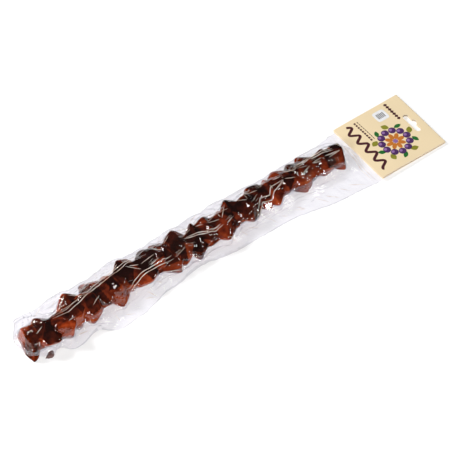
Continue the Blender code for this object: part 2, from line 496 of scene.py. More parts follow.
def add_core(bm, points, radii):
    """A lumpy rod of juice along the string, which the nuts sit in."""
    rng = random.Random(CORE_SEED)
    for start, end, radius, radius_after in zip(points, points[1:], radii, radii[1:]):
        start, end = Vector(start), Vector(end)
        way = end - start
        spin = Matrix.Rotation(rng.uniform(0, math.tau), 4, "Z")
        turn = way.to_track_quat("Z", "Y").to_matrix().to_4x4() @ spin
        made = bmesh.ops.create_cone(
            bm,
            cap_ends=True,
            segments=CORE_SIDES,
            radius1=radius * rng.uniform(*CORE_STRAY),
            radius2=radius_after * rng.uniform(*CORE_STRAY),
            depth=way.length * CORE_OVERLAP,
            matrix=Matrix.Translation((start + end) / 2) @ turn,
        )["verts"]
        for vert in made:
            vert.co.z = max(vert.co.z, FLOOR_GAP)


def painted_shade_and_tones_of_facets(points, nuts):
    """For each point, its facet's random tone with painted shade: darker where the facet looks up and in the
    hollows between nuts.
    """
    rng = random.Random(TONE_SEED)
    nearest = np.full(len(points), np.inf)
    tones = np.zeros(len(points))
    for nut in nuts:
        ways = (nut.facets / nut.radii) @ nut.turn.T
        up = ways[:, 2] / np.linalg.norm(ways, axis=1)
        # Painted shade: a facet is darker the more it looks up, round a random tone of its own.
        up_shade_and_tones = TONE_START - UP_FACET_PAINTED_SHADE * up + [rng.uniform(-TONE_STRAY, TONE_STRAY) for _ in up]
        near = np.flatnonzero(np.abs(points[:, 0] - nut.centre[0]) < 2 * nut.radii[0])
        along = ((points[near] - nut.centre) @ nut.turn / nut.radii) @ nut.facets.T
        reach = along.max(axis=1)
        closer = reach < nearest[near]
        nearest[near[closer]] = reach[closer]
        tones[near[closer]] = up_shade_and_tones[along.argmax(axis=1)[closer]]
    # Painted shade in the hollows between nuts.
    hollow = ease((nearest - 1.0) / HOLLOW_DEPTH)
    return tones * (1 - HOLLOW_PAINTED_SHADE * hollow)


def mark_tone_and_painted_light(piece, nuts):
    """Stores the juice's tone at each point, from 0 for near black to 1 for the reddest corners: a random
    tone with painted shade for each facet, and a painted glow that grows towards the sides.
    """
    points = mesh_points(piece.data)
    middles = np.array([nut.centre for nut in nuts])
    sizes = np.array([nut.radii[1] for nut in nuts])
    size = np.interp(points[:, 0], middles[:, 0], sizes)
    side = np.abs(points[:, 1] - string_y(points[:, 0])) / size
    # Painted glow: redder the farther a point is to the side of the string.
    tone = painted_shade_and_tones_of_facets(points, nuts) + SIDE_PAINTED_GLOW * (side - TONE_MIDDLE)
    store(piece.data, "tone", tone)


# The crumb

CRUMB_PLACE = (-231 * MM, -18.6 * MM)
CRUMB_RADII = (4.4 * MM, 2.9 * MM, 1.3 * MM)
CRUMB_LIFT = 0.4 * MM
CRUMB_TURN = 0.7
CRUMB_FACETS = (
    (1, 0.35, 0.3), (-1, -0.3, 0.3), (0.25, 1, 0.3), (-0.4, -1, 0.3), (0.1, 0.1, 1), (0, 0, -1),
    (0.75, -0.8, 0),
)


def make_crumb():
    """A chip of dried juice that lies loose beside the nuts."""
    centre = (*CRUMB_PLACE, CRUMB_RADII[2] + CRUMB_LIFT)
    return Lump(centre, CRUMB_RADII, Euler((0, 0, CRUMB_TURN)), CRUMB_FACETS)


def crumb_material():
    """Dull dried juice."""
    shader = Shader("dried_juice")
    tint = shader.ramp(shader.noise(400, 3), (0.35, (0.1, 0.045, 0.04)), (0.65, (0.22, 0.12, 0.11)))
    rough = shader.bump(shader.noise(900, 4), 0.5, 0.3 * MM)
    return shader.plain({"Base Color": tint, "Roughness": 0.6, "Normal": rough})


def add_crumb():
    """Makes the crumb's piece."""
    bm = bmesh.new()
    make_crumb().add_to(bm, 3)
    bmesh.ops.recalc_face_normals(bm, faces=bm.faces)
    as_object(bm, "crumb", crumb_material(), ["vacuum_pouch"])


# The clear film

OUTLINE_STEPS = 90
OUTLINE_BAND = 0.75
CORNER_STEPS = 5
FILM_START = 0.2 * MM
LOST_HEIGHT = 6 * MM
FAR_CORNER_BACK = 18 * MM
FAR_START = 0.5
NEAR_CORNER_BACK = 8 * MM
NEAR_STOP = 0.25
CORNER_FADE = 70 * MM
FILM_SEED = 5
FILM_GAP = 0.12 * MM
FILM_FLOOR = 0.06 * MM
FILM_STRAY = 0.25 * MM
FILM_GIVE = 0.8
FILM_SMOOTHING = 0.015
FILM_STIFFNESS = 0.12
FILM_SUCTION = 0.10 * MM
FILM_SAG = 0.02 * MM
EDGE_HOLD = 0.08
LUMP_REACH = 1.35
SEAL_STATIONS = 4
LAST_SMOOTHING = 0.5
CHAIN_REACH = 1.4
WING_SLACK = 0.85
WING_START = 6 * MM
# The waves' pitch and height, in millimetres
WAVES = ((6.5, 0.3), (10, 0.45), (17, 0.7))
WAVE_START = 7 * MM
WAVE_END = 9 * MM
WAVE_SPANS = 6
WAVE_STEP = 1.7
WAVE_SLANT = 0.8
WAVE_STRENGTHS = (0.1, 1)


def pouch_outline(x):
    """The solid pouch's two long edges at x, read from its node."""
    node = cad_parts["vacuum_pouch"]
    points = np.array([vert.co for vert in node.data.vertices])
    steps = np.linspace(POUCH_LOW.x, POUCH_HIGH.x, OUTLINE_STEPS)
    half = (steps[1] - steps[0]) * OUTLINE_BAND
    bands = [points[np.abs(points[:, 0] - step) < half, 1] for step in steps]
    near = [band.min() for band in bands]
    far = [band.max() for band in bands]
    far[:CORNER_STEPS] = [far[CORNER_STEPS]] * CORNER_STEPS
    return np.interp(x, steps, near), np.interp(x, steps, far)


def pouch_heights(points):
    """The solid pouch's upper and lower height at each point (x, y), or none beyond its edge."""
    tree = tree_of(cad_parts["vacuum_pouch"].data)
    heights = np.zeros((2, len(points)))
    for number, (x, y) in enumerate(points):
        top, _ = meet(tree, x, y)
        low, _ = meet(tree, x, y, -1)
        heights[:, number] = (low.z, top.z) if top and low else (np.nan, np.nan)
    return heights


def film_start(stations, across):
    """Both films before the last of the air leaves: an array of back and front, stations, across, xyz."""
    x = np.linspace(POUCH_LOW.x + FILM_START, POUCH_HIGH.x, stations)
    share = np.linspace(0, 1, across)
    near, far = pouch_outline(x)
    y = near[:, None] + (far - near)[:, None] * share
    corners = FAR_CORNER_BACK * ease((share - FAR_START) / (1 - FAR_START))
    corners += NEAR_CORNER_BACK * ease((NEAR_STOP - share) / NEAR_STOP)
    fade = (1 - ease((x - POUCH_LOW.x) / CORNER_FADE)) ** 2
    x = x[:, None] + corners * fade[:, None]
    low, top = pouch_heights(np.stack([x.ravel(), y.ravel()], axis=1)).reshape(2, stations, across)
    for heights in (low, top):
        for row in heights:
            known = ~np.isnan(row)
            found = known.any()
            row[~known] = np.interp(share[~known], share[known], row[known]) if found else LOST_HEIGHT
    flat = np.stack([x, y], axis=-1)
    return np.stack([np.dstack([flat, low]), np.dstack([flat, top])])


def pull(points, axis, rest, give):
    """Draws pairs of neighbours to their rest length, in place. give is how weakly they resist squeezing."""
    size = points.shape[axis]
    for start in (0, 1):
        first = [slice(None)] * points.ndim
        second = [slice(None)] * points.ndim
        count = (size - start) // 2
        first[axis] = slice(start, start + 2 * count - 1, 2)
        second[axis] = slice(start + 1, start + 2 * count, 2)
        a, b = points[tuple(first)], points[tuple(second)]
        way = b - a
        long = np.sqrt((way * way).sum(axis=-1, keepdims=True)) + 1e-9
        excess = 0.5 * (long - rest) / long
        move = way * np.where(excess > 0, excess, excess * give)
        a += move
        b -= move


def off_level(points):
    """How far the inner points are from the middle of their four neighbours."""
    around = points[:, :-2, 1:-1] + points[:, 2:, 1:-1] + points[:, 1:-1, :-2] + points[:, 1:-1, 2:]
    return around / 4 - points[:, 1:-1, 1:-1]


def press_off_core(films, line, skin):
    """Moves the film's points out of the juice round the string, in place."""
    points, _ = line
    x = films[..., 0]
    middle_z = np.interp(x, points[:, 0], points[:, 2])
    radius = core_radius(x, line) + skin
    off_y = films[..., 1] - string_y(x)
    off_z = films[..., 2] - middle_z
    off = np.hypot(off_y, off_z) + 1e-9
    inside = (off < radius) & (x > points[0, 0]) & (x < points[-1, 0])
    out = (radius / off)[inside]
    films[..., 1][inside] += off_y[inside] * (out - 1)
    films[..., 2][inside] += off_z[inside] * (out - 1)


def weld(films, where):
    """Lays both films on each other where they are welded or touch, in place."""
    middle = films[:, *where].mean(axis=0)
    films[0][where] = middle - [0, 0, FILM_GAP / 2]
    films[1][where] = middle + [0, 0, FILM_GAP / 2]


def draw_tight(films, lumps, line, sizes, rounds):
    """Draws the two films over the lumps and onto each other, in place, as the vacuum does."""
    _, stations, across, _ = films.shape
    along_rest = (POUCH_HIGH.x - POUCH_LOW.x) / (stations - 1) * sizes.slack
    across_rest = sizes.width / (across - 1)
    border = films.mean(axis=0)[None].copy()
    rng = np.random.default_rng(FILM_SEED)
    films[..., 2] += rng.normal(0, FILM_STRAY, films.shape[:-1])
    towards = np.array([1.0, -1.0])[:, None, None]
    middle_x = films[0, :, across // 2, 0]
    near = [np.abs(middle_x - lump.centre[0]) < LUMP_REACH * lump.radii.max() for lump in lumps]
    rows = [slice(row[0], row[-1] + 1) for row in map(np.flatnonzero, near)]
    sealed = int(sizes.seal / across_rest) + 1
    seals = (
        np.s_[:, :sealed],
        np.s_[:, across - sealed :],
        np.s_[:sealed, :],
        np.s_[stations - SEAL_STATIONS :, :],
    )
    for _ in range(rounds):
        pull(films, 1, along_rest, FILM_GIVE)
        pull(films, 2, across_rest, FILM_GIVE)
        bend = off_level(films)
        films[:, 1:-1, 1:-1] += FILM_SMOOTHING * bend
        films[:, 2:-2, 2:-2] -= FILM_STIFFNESS * off_level(bend)
        films[..., 2] += towards * FILM_SUCTION
        films[..., 2] -= FILM_SAG
        press_off_core(films, line, sizes.skin)
        for lump, row in zip(lumps, rows):
            part = films[:, row].copy()
            lump.press_out(part, sizes.skin)
            films[:, row] = part
        weld(films, np.nonzero(films[1, ..., 2] - films[0, ..., 2] < FILM_GAP))
        for seal in seals:
            weld(films, seal)
        films[:, :, (0, -1), :2] += EDGE_HOLD * (border[:, :, (0, -1), :2] - films[:, :, (0, -1), :2])
        films[:, 0, :, :2] += EDGE_HOLD * (border[:, 0, :, :2] - films[:, 0, :, :2])
        films[..., 2] = np.maximum(films[..., 2], FILM_FLOOR)


def off_chain(x, y, line):
    """How far out in the wings points are, from where the film leaves the nuts."""
    return np.abs(y - string_y(x)) - core_radius(x, line) * CHAIN_REACH


def crease_wings(films, line):
    """Puts the slanting waves into the wings, which spread from the string to the edges."""
    middle = films.mean(axis=0)
    x, y = middle[..., 0], middle[..., 1]
    off = off_chain(x, y, line)
    edge = np.minimum(np.abs(y - y[:, :1]), np.abs(y - y[:, -1:]))
    fade = ease(off / WAVE_START) * ease(edge / WAVE_END)
    share = (x - POUCH_LOW.x) / (POUCH_HIGH.x - POUCH_LOW.x) * WAVE_SPANS
    stops = range(WAVE_SPANS + 1)
    rng = np.random.default_rng(FILM_SEED)
    height = np.zeros_like(x)
    for wave, amount in WAVES:
        slant = rng.uniform(-WAVE_SLANT, WAVE_SLANT, len(stops))
        phase = rng.uniform(0, math.tau, len(stops))
        turn = np.interp(share, stops, phase)
        turn = turn + np.interp(share, stops, slant) * off / (wave * MM) * math.tau
        strengths = rng.uniform(*WAVE_STRENGTHS, len(stops))
        strength = np.interp(share * WAVE_STEP % WAVE_SPANS, stops, strengths)
        height += amount * MM * strength * (np.abs(np.sin((x / (wave * MM) * math.tau + turn) / 2)) - 0.5)
    films[..., 2] += height * fade
    films[..., 2] += np.maximum(FILM_FLOOR - films[0, ..., 2], 0)


def film_material():
    """Clear glossy film: seen through head on, bright where it mirrors a light or is seen edge on."""
    shader = Shader("clear_film")
    tight = shader.node("ShaderNodeAttribute", attribute_name="tight").outputs["Fac"]
    facets = shader.bump(shader.roofs(120, (0.6, 1, 1)), tight, 1.6 * MM)
    dimples = shader.noise(300, 3)
    creases = shader.noise(95, 3, (4.5, 1, 1), 0.8)
    ripple = shader.bump(shader.calculate("MULTIPLY_ADD", creases, 2.2, dimples), 0.3, 0.5 * MM, facets)
    edge_on = shader.node("ShaderNodeLayerWeight", {"Blend": 0.5, "Normal": ripple}).outputs["Facing"]
    steep = shader.calculate("POWER", edge_on, 5.0)
    most = shader.calculate("MULTIPLY_ADD", tight, 0.7, 0.2)
    least = shader.calculate("MULTIPLY_ADD", tight, 0.05, 0.012)
    mirror = shader.node("ShaderNodeMapRange", {"Value": steep, "To Min": least, "To Max": most})
    tint = shader.ramp(
        edge_on,
        (0.2, (0.97, 0.965, 0.98)),
        (0.5, (0.91, 0.905, 0.93)),
        (0.9, (0.74, 0.73, 0.76)),
    )
    clear = shader.node("ShaderNodeBsdfTransparent", {"Color": tint})
    gloss = shader.node("ShaderNodeBsdfGlossy", {"Color": (1, 1, 1, 1), "Roughness": 0.03, "Normal": ripple})
    parts = {0: mirror.outputs[0], 1: clear.outputs[0], 2: gloss.outputs[0]}
    return shader.finish(shader.node("ShaderNodeMixShader", parts))


def mark_tight(film, line):
    """Stores how hard the film is drawn at each point, from near 0 in the wings to 1 over the nuts."""
    points = mesh_points(film.data)
    off = off_chain(points[:, 0], points[:, 1], line)
    store(film.data, "tight", 1 - WING_SLACK * ease(off / WING_START))


def joined_sheets(films):
    """Both films as one closed mesh, which is sewn up along their edges."""
    _, stations, across, _ = films.shape
    bm = bmesh.new()
    bmesh.ops.create_grid(bm, x_segments=stations - 1, y_segments=across - 1, size=1)
    place = bm.verts.layers.int.new("place")
    ordered = sorted(bm.verts, key=lambda vert: (round(vert.co.x, 5), round(vert.co.y, 5)))
    for number, vert in enumerate(ordered):
        vert[place] = number
    below = set(bm.verts)
    bmesh.ops.extrude_face_region(bm, geom=bm.faces[:])
    for vert in bm.verts:
        sheet = films[0 if vert in below else 1]
        vert.co = Vector(sheet[divmod(vert[place], across)])
    return cleaned(bm)


def make_film(sizes, nut_sizes):
    """The clear pouch: two films welded along their edges and drawn tight over the nuts and the crumb."""
    nuts = all_nuts(nut_sizes)
    line = core_line(nuts, nut_sizes)
    cell = sizes.cell * 1
    stations = int((POUCH_HIGH.x - POUCH_LOW.x) / cell) + 1
    films = film_start(stations, int(sizes.width / cell) + 1)
    rounds = sizes.rounds // 1
    draw_tight(films, [*nuts, make_crumb()], line, sizes, rounds)
    films[:, 1:-1, 1:-1] += LAST_SMOOTHING * off_level(films)
    crease_wings(films, line)
    folds = nut_folds(films[1], nuts)
    raise_tents(films[1], folds)
    for border in (np.s_[:, 0], np.s_[:, -1], np.s_[:, :, 0], np.s_[:, :, -1]):
        films[border] = films[border].mean(axis=0)
    film = as_object(joined_sheets(films), "pouch_film", film_material(), ["vacuum_pouch"])
    mark_tight(film, line)
    make_folds(film, films[1], folds)


# The folds in the film

FOLD_SEED = 3
FOLD_SIDES = (-0.75, 0.0, 0.75)
FOLD_WINDOW = 6 * MM
FOLD_FALL = 0.3
FOLD_STEP = 1.0 * MM
FOLD_LIFT = 0.1 * MM
FOLD_WIDTHS = (0.16 * MM, 0.36 * MM)
FOLD_CUT = 0.4
LONG_FOLD_SHARE = (0.4, 0.25, 0.4)
CROSS_FOLD_SHARE = 0.35
GATHERS = 3
GATHER_SHARE = 0.28
GATHER_STEP = 1.8 * MM
GATHER_STRAY = 0.3
GATHER_DROP = 0.4 * MM
GATHER_BEGIN = (0.05, 0.4)
GATHER_STOP = (0.6, 0.95)
GATHER_FAN = (0.5, 1.5)
GATHER_WIDTH = 0.08 * MM
TENT_SLOPE = 0.9
TENT_HEIGHT = 3.5 * MM
PLEAT_LINE = 0.36 * MM
PLEAT_WIDTH = 3.0 * MM
PLEAT_STRAY = (0.4, 1.4)
# The long pleats' corners, in millimetres
PLEATS = (
    ((-215, 1), (-196, 0), (-167, 6), (-140, 11), (-117, 12), (-93, 20)),
    ((-128, -9), (-108, -5), (-87, -5), (-66, -5)),
    ((-43, 4), (-29, 1), (-14, -4), (-2, -3)),
    ((35, -12), (50, 1), (61, 0), (67, 5), (84, 7)),
    ((96, 11), (112, 13), (136, 14), (148, 9)),
)
WING_FOLDS = 42
WING_FOLD_WIDTHS = (0.14 * MM, 0.3 * MM)
WING_PART = 0.9
# Where the wings' folds begin and end, as shares of the film's width, two near ones for each far one
WING_WAYS = ((0.82, 0.95), (0.22, 0.05), (0.22, 0.05))
# How far along the pack they end, in millimetres
WING_AHEAD = (-12, 26)
WING_REACH = (0.3, 1)
CARD_STATIONS = 12
CRUMB_CLEAR = 15 * MM
SEAL_LINES = (163.5 * MM, 166.5 * MM)
SEAL_CORNERS = (-36, -18, 0, 18, 36)
RIDGE_SIDES = 6
RIDGE_HEIGHT = 0.16 * MM
RIDGE_SHARE = 0.6
RIM_WIDTH = 0.07 * MM
RIM_STEP = 3


def best_place(sheet, score):
    """The place in the upper film where a score is highest."""
    return sheet[np.unravel_index(score.argmax(), score.shape)].copy()


def film_peaks(sheet, nut):
    """The places in the upper film where it stands highest over a nut's near side, top and far side."""
    places = []
    for side in FOLD_SIDES:
        off = np.hypot(sheet[..., 0] - nut.centre[0], sheet[..., 1] - nut.centre[1] - side * nut.radii[1])
        places.append(best_place(sheet, np.where(off < FOLD_WINDOW, sheet[..., 2] - FOLD_FALL * off, -1)))
    return places


def on_sheet(sheet, x, y):
    """The place in the upper film that's nearest to x, y."""
    return best_place(sheet, -np.hypot(sheet[..., 0] - x, sheet[..., 1] - y))


def nut_folds(sheet, nuts):
    """The folds over the nuts and the long pleats, each as its corners and its half width."""
    rng = np.random.default_rng(FOLD_SEED)
    peaks = [film_peaks(sheet, nut) for nut in nuts]
    folds = []
    for here, after in zip(peaks, peaks[1:]):
        chances = [(here[side], after[side], likely) for side, likely in enumerate(LONG_FOLD_SHARE)]
        for start, ends in ((here[1], after), (here[1], here), (after[1], here)):
            chances.append((start, ends[int(rng.integers(0, 2)) * 2], CROSS_FOLD_SHARE))
        for start, end, likely in chances:
            drawn, width = rng.uniform(), rng.uniform(*FOLD_WIDTHS)
            begin, stop = sorted(rng.uniform(0, 1, 2))
            begin, stop = begin * FOLD_CUT, 1 - (1 - stop) * FOLD_CUT
            if drawn < likely:
                folds.append(((start + (end - start) * begin, start + (end - start) * stop), width))
        for side, inward in ((0, 1), (2, -1)):
            if rng.uniform() < GATHER_SHARE:
                folds += gathers(here[side], after[side], inward, rng)
    return folds + long_pleats(sheet, rng)


def long_pleats(sheet, rng):
    """The long pleats along the pack, each as two folds side by side."""
    folds = []
    for pleat in PLEATS:
        for beside in (-PLEAT_WIDTH / 2, PLEAT_WIDTH / 2):
            away = [beside * rng.uniform(*PLEAT_STRAY) for _ in pleat]
            corners = [on_sheet(sheet, x * MM, y * MM + far) for (x, y), far in zip(pleat, away)]
            folds.append((corners, PLEAT_LINE))
    return folds


def gathers(start, end, inward, rng):
    """Fine folds side by side between two nuts, from their outer side inwards."""
    folds = []
    way = end - start
    for number in range(GATHERS):
        aside = inward * GATHER_STEP * (number + rng.uniform(-GATHER_STRAY, GATHER_STRAY))
        off = np.array([0, aside, -GATHER_DROP])
        begin = start + way * rng.uniform(*GATHER_BEGIN) + off
        stop = start + way * rng.uniform(*GATHER_STOP) + off * rng.uniform(*GATHER_FAN)
        folds.append(((begin, stop), GATHER_WIDTH))
    return folds


def raise_tents(sheet, folds):
    """Lifts the upper film to the folds, with flat sides that fall away from them, in place."""
    for corners, _ in folds:
        for start, end in zip(corners, corners[1:]):
            way = end - start
            long = np.linalg.norm(way[:2]) + 1e-9
            share = np.clip(((sheet[..., :2] - start[:2]) @ way[:2]) / long**2, 0, 1)
            beside = np.linalg.norm(sheet[..., :2] - start[:2] - share[..., None] * way[:2], axis=-1)
            tent = start[2] + way[2] * share - TENT_SLOPE * beside
            sheet[..., 2] = np.maximum(sheet[..., 2], np.minimum(tent, sheet[..., 2] + TENT_HEIGHT))


def wing_folds(sheet):
    """The fine creases that fan out over the two wings, and the two along the seal at the card."""
    rng = np.random.default_rng(FOLD_SEED)
    folds = []
    stations, across, _ = sheet.shape
    last = stations - CARD_STATIONS
    for number in range(WING_FOLDS):
        station = int(stations * (number + rng.uniform(0, 1)) / WING_FOLDS * WING_PART)
        inner, outer = WING_WAYS[number % 3]
        ahead = int(rng.uniform(*WING_AHEAD) * MM / (POUCH_HIGH.x - POUCH_LOW.x) * stations)
        start = sheet[min(station, last), int(inner * across)]
        stop = sheet[min(max(station + ahead, SEAL_STATIONS), last), int(outer * across)]
        reach = rng.uniform(*WING_REACH)
        begin = start + (stop - start) * rng.uniform(0, 1 - reach)
        crumb_off = np.hypot(*(begin[:2] - np.array(CRUMB_PLACE)))
        if crumb_off > CRUMB_CLEAR:
            folds.append(((begin, begin + (stop - start) * reach), rng.uniform(*WING_FOLD_WIDTHS)))
    for x in SEAL_LINES:
        folds.append(([on_sheet(sheet, x, y * MM) for y in SEAL_CORNERS], WING_FOLD_WIDTHS[1]))
    return folds


def fold_line(tree, corners):
    """Points along one fold, from corner to corner on the film, and the film's normals there."""
    places, ups = [], []
    for start, end in zip(corners, corners[1:]):
        steps = max(4, int(np.linalg.norm(end - start) / FOLD_STEP))
        for share in np.linspace(0, 1, steps, endpoint=False):
            x, y, z = start + (end - start) * share
            hit, normal = meet(tree, x, y)
            if hit:
                places.append((x, y, max(hit.z, min(z, hit.z + FOLD_LIFT))))
                ups.append(normal)
    return np.array(places), np.array(ups)


def add_ridge(bm, places, ups, half_width):
    """A flat ridge along places, thinner towards its ends."""
    steps = len(places)
    made = bmesh.ops.create_grid(bm, x_segments=steps - 1, y_segments=RIDGE_SIDES, size=1)["verts"]
    made.sort(key=lambda vert: (round(vert.co.x, 5), round(vert.co.y, 5)))
    along = np.gradient(places, axis=0)
    ups = np.array([ups[max(0, step - 2) : step + 3].mean(axis=0) for step in range(steps)])
    aside = unit(np.cross(along, ups))
    ups = unit(np.cross(aside, along))
    taper = np.sin(np.linspace(0, math.pi, steps)) ** 0.5
    for number, vert in enumerate(made):
        step, side = divmod(number, RIDGE_SIDES + 1)
        turn = side % RIDGE_SIDES / RIDGE_SIDES * math.tau
        height = min(RIDGE_HEIGHT, half_width * RIDGE_SHARE)
        out = aside[step] * math.cos(turn) * half_width + ups[step] * math.sin(turn) * height
        vert.co = places[step] + out * taper[step]


def fold_material_with_painted_highlight():
    """Film folded over on itself: milky, with bright glossy edges, and painted near white as a highlight
    along each crease.
    """
    shader = Shader("folded_film_painted_highlight")
    # Near-white colour: partly the folded film's milkiness, partly a painted highlight along the crease.
    tint = shader.ramp(shader.noise(140, 2), (0.38, (0.66, 0.47, 0.37)), (0.62, (1.0, 0.93, 0.85)))
    inputs = {"Base Color": tint, "Roughness": 0.12, "Alpha": 0.95}
    return shader.plain(inputs)


def add_folds(name, lines, material):
    """Makes one piece of the ridges along lines of points, each with its normals and its half width."""
    bm = bmesh.new()
    for places, ups, half_width in lines:
        if len(places) > 3:
            add_ridge(bm, places, ups, half_width)
    as_object(cleaned(bm), name, material, ["vacuum_pouch"])


def rim_glint_material():
    """The films' cut edge, faintly yellow, with a painted glint along it."""
    shader = Shader("film_edge_glint")
    # Faint white and yellow line: partly the seal's own yellow, partly a painted glint.
    tint = shader.ramp(shader.noise(60, 2), (0.45, (0.99, 0.99, 0.99)), (0.65, (0.97, 0.9, 0.55)))
    inputs = {"Base Color": tint, "Roughness": 0.2, "Alpha": 0.2}
    return shader.plain(inputs)


def make_folds(film, sheet, folds):
    """The folds that stand in the upper film and the films' cut edge, as fine ridges."""
    tree = tree_of(film.data)
    lines = [(*fold_line(tree, corners), half_width) for corners, half_width in folds + wing_folds(sheet)]
    # The folds' ridges carry a painted highlight in their near-white colour.
    add_folds("film_folds_painted_highlight", lines, fold_material_with_painted_highlight())
    shown = sheet[:, 0, 0] < CARD_LOW.x
    edges = [edge[::RIM_STEP] for edge in (sheet[shown, 0], sheet[0], sheet[shown, -1])]
    lines = [(places, np.tile([0.0, 0.0, 1.0], (len(places), 1)), RIM_WIDTH) for places in edges]
    # The cut edge's faint line is partly a painted glint.
    add_folds("film_edges", lines, rim_glint_material())


# The header card

CUT_SLOPE = 0.4
INK_SHEET = 0.05 * MM
INK_SHADE = 0.86
SQUARENESS = 6
BAND_PLACE = 184 * MM
BAND_WIDTH = 3 * MM
BAND_SWING = 4 * MM
BAND_PITCH = 13.6 * MM
BAND_ENDS = (-32 * MM, 34 * MM)
BAND_STEPS = 90
BARS = 9
DIAMONDS = 7
# Rows across the card, in millimetres: their place, the first one, the pitch and the size
BAR_ROWS = ((194, 6, 3.4, 2, 2.3), (197.4, 6.5, 3.3, 0.8, 2.5))
DIAMOND_ROW = (234.5, 13, 3.7, 2.1)
MEDALLION = (212.5 * MM, -9.5 * MM)
MIDDLE_SIZE = 2.6 * MM
RING = 14.5 * MM
RING_DISCS = 11
DISC_CORNERS = 20
SPOT_CORNERS = 12
DISC_SIZE = 4.0 * MM
SPOT_SIZE = 1.7 * MM
SPOT_OFF = (-1.1 * MM, 1.3 * MM)
PETALS = 8
PETAL_RING = 6.7 * MM
PETAL_SIZES = (8 * MM, 4.6 * MM)
LEAVES = 10
LEAF_START = 0.3
LEAF_LENGTH = 8.5 * MM
# The leaves' ring, width and turn
BROAD_LEAVES = (21 * MM, 6 * MM, 0.8)
SLIM_LEAVES = (20.5 * MM, 4.6 * MM, -0.8)
LABEL_PLACE = (222 * MM, 26.5 * MM)
LABEL_SIZE = 14 * MM
LABEL_BARS = 5
# The label's row of bars, in millimetres: the first one, the pitch and the size
LABEL_ROW = (218.4, 1.8, 0.9, 7)


def card_material(ink):
    """Smooth cream card, white where its sheet is cut."""
    shader = Shader("cream_card")
    cream = Vector(ink.cream)
    tint = shader.ramp(shader.noise(18, 2), (0.3, cream * 0.95), (0.7, cream))
    normal = shader.node("ShaderNodeNewGeometry").outputs["Normal"]
    up = shader.node("ShaderNodeSeparateXYZ", {"Vector": normal}).outputs["Z"]
    cut = shader.calculate("LESS_THAN", shader.calculate("ABSOLUTE", up), CUT_SLOPE)
    mixed = shader.node("ShaderNodeMix", data_type="RGBA")
    shader.tree.links.new(cut, mixed.inputs["Factor"])
    shader.tree.links.new(tint, mixed.inputs["A"])
    mixed.inputs["B"].default_value = (0.9, 0.86, 0.8, 1)
    fibre = shader.bump(shader.noise(1500, 3), 0.15, 0.1 * MM)
    inputs = {"Base Color": mixed.outputs["Result"], "Roughness": 0.38, "Normal": fibre}
    return shader.plain(inputs)


def ink_material(name, tint):
    """Printed ink, a little uneven."""
    shader = Shader(name)
    tint = Vector(tint)
    uneven = shader.ramp(shader.noise(160, 2), (0.3, tint * INK_SHADE), (0.7, tint))
    return shader.plain({"Base Color": uneven, "Roughness": 0.4})


def add_disc(bm, x, y, radius, corners):
    """A round, or with four corners a diamond."""
    place = Matrix.Translation((x, y, 0))
    bmesh.ops.create_circle(bm, cap_ends=True, segments=corners, radius=radius, matrix=place)


def add_rounded_square(bm, x, y, size):
    """A square with round corners."""
    made = bmesh.ops.create_circle(bm, cap_ends=True, segments=32, radius=1)["verts"]
    for vert in made:
        out = (vert.co.x**SQUARENESS + vert.co.y**SQUARENESS) ** (1 / SQUARENESS)
        vert.co = vert.co / out * size / 2 + Vector((x, y, 0))


def add_oval(bm, x, y, length, width, angle, pointed=False):
    """An oval or a pointed leaf, its long side turned by angle from +X."""
    turn = Matrix.Translation((x, y, 0)) @ Matrix.Rotation(angle, 4, "Z")
    made = bmesh.ops.create_circle(bm, cap_ends=True, segments=24, radius=1)["verts"]
    for vert in made:
        slim = abs(vert.co.y) if pointed else 1
        vert.co = turn @ Vector((vert.co.x * length / 2, vert.co.y * slim * width / 2, 0))


def add_bar(bm, x, y, width, height):
    """A straight bar, width along X."""
    place = Matrix.Translation((x, y, 0)) @ Matrix.Diagonal((width, height, 1, 1))
    bmesh.ops.create_grid(bm, x_segments=1, y_segments=4, size=0.5, matrix=place)


def add_band(bm):
    """The broad wavy band."""
    made = bmesh.ops.create_grid(bm, x_segments=1, y_segments=BAND_STEPS, size=0.5)["verts"]
    for vert in made:
        y = BAND_ENDS[0] + (vert.co.y + 0.5) * (BAND_ENDS[1] - BAND_ENDS[0])
        turn = math.tau * y / BAND_PITCH
        middle = Vector((BAND_PLACE + BAND_SWING * math.sin(turn), y, 0))
        aside = Vector((1, -BAND_SWING * math.tau / BAND_PITCH * math.cos(turn), 0)).normalized()
        vert.co = middle + aside * vert.co.x * BAND_WIDTH


def on_ring(radius, number, count, start=0.0):
    """The place and the angle of one of several things on a ring round the medallion's middle."""
    angle = (number + start) * math.tau / count
    return MEDALLION[0] + radius * math.cos(angle), MEDALLION[1] + radius * math.sin(angle), angle


def brown_print(bm):
    """The wavy band, the two rows of small bars and the row of diamonds."""
    add_band(bm)
    for x, first, pitch, width, height in BAR_ROWS:
        for number in range(BARS):
            add_bar(bm, x * MM, (first + pitch * number) * MM, width * MM, height * MM)
    x, first, pitch, size = DIAMOND_ROW
    for number in range(DIAMONDS):
        add_disc(bm, x * MM, (first + pitch * number) * MM, size * MM, 4)


def add_ring(bm, off_x, off_y, radius, corners):
    """A ring of rounds, each off its place on the medallion's ring."""
    for number in range(RING_DISCS):
        x, y, _ = on_ring(RING, number, RING_DISCS)
        add_disc(bm, x + off_x, y + off_y, radius, corners)


def purple_print(bm):
    """The medallion's ring of rounds."""
    add_ring(bm, 0, 0, DISC_SIZE, DISC_CORNERS)


def lilac_print(bm):
    """The rounds' light spots and the medallion's middle."""
    add_ring(bm, *SPOT_OFF, SPOT_SIZE, SPOT_CORNERS)
    add_disc(bm, *MEDALLION, MIDDLE_SIZE, DISC_CORNERS)


def amber_print(bm):
    """The medallion's petals."""
    for number in range(PETALS):
        x, y, angle = on_ring(PETAL_RING, number, PETALS)
        add_oval(bm, x, y, *PETAL_SIZES, angle)


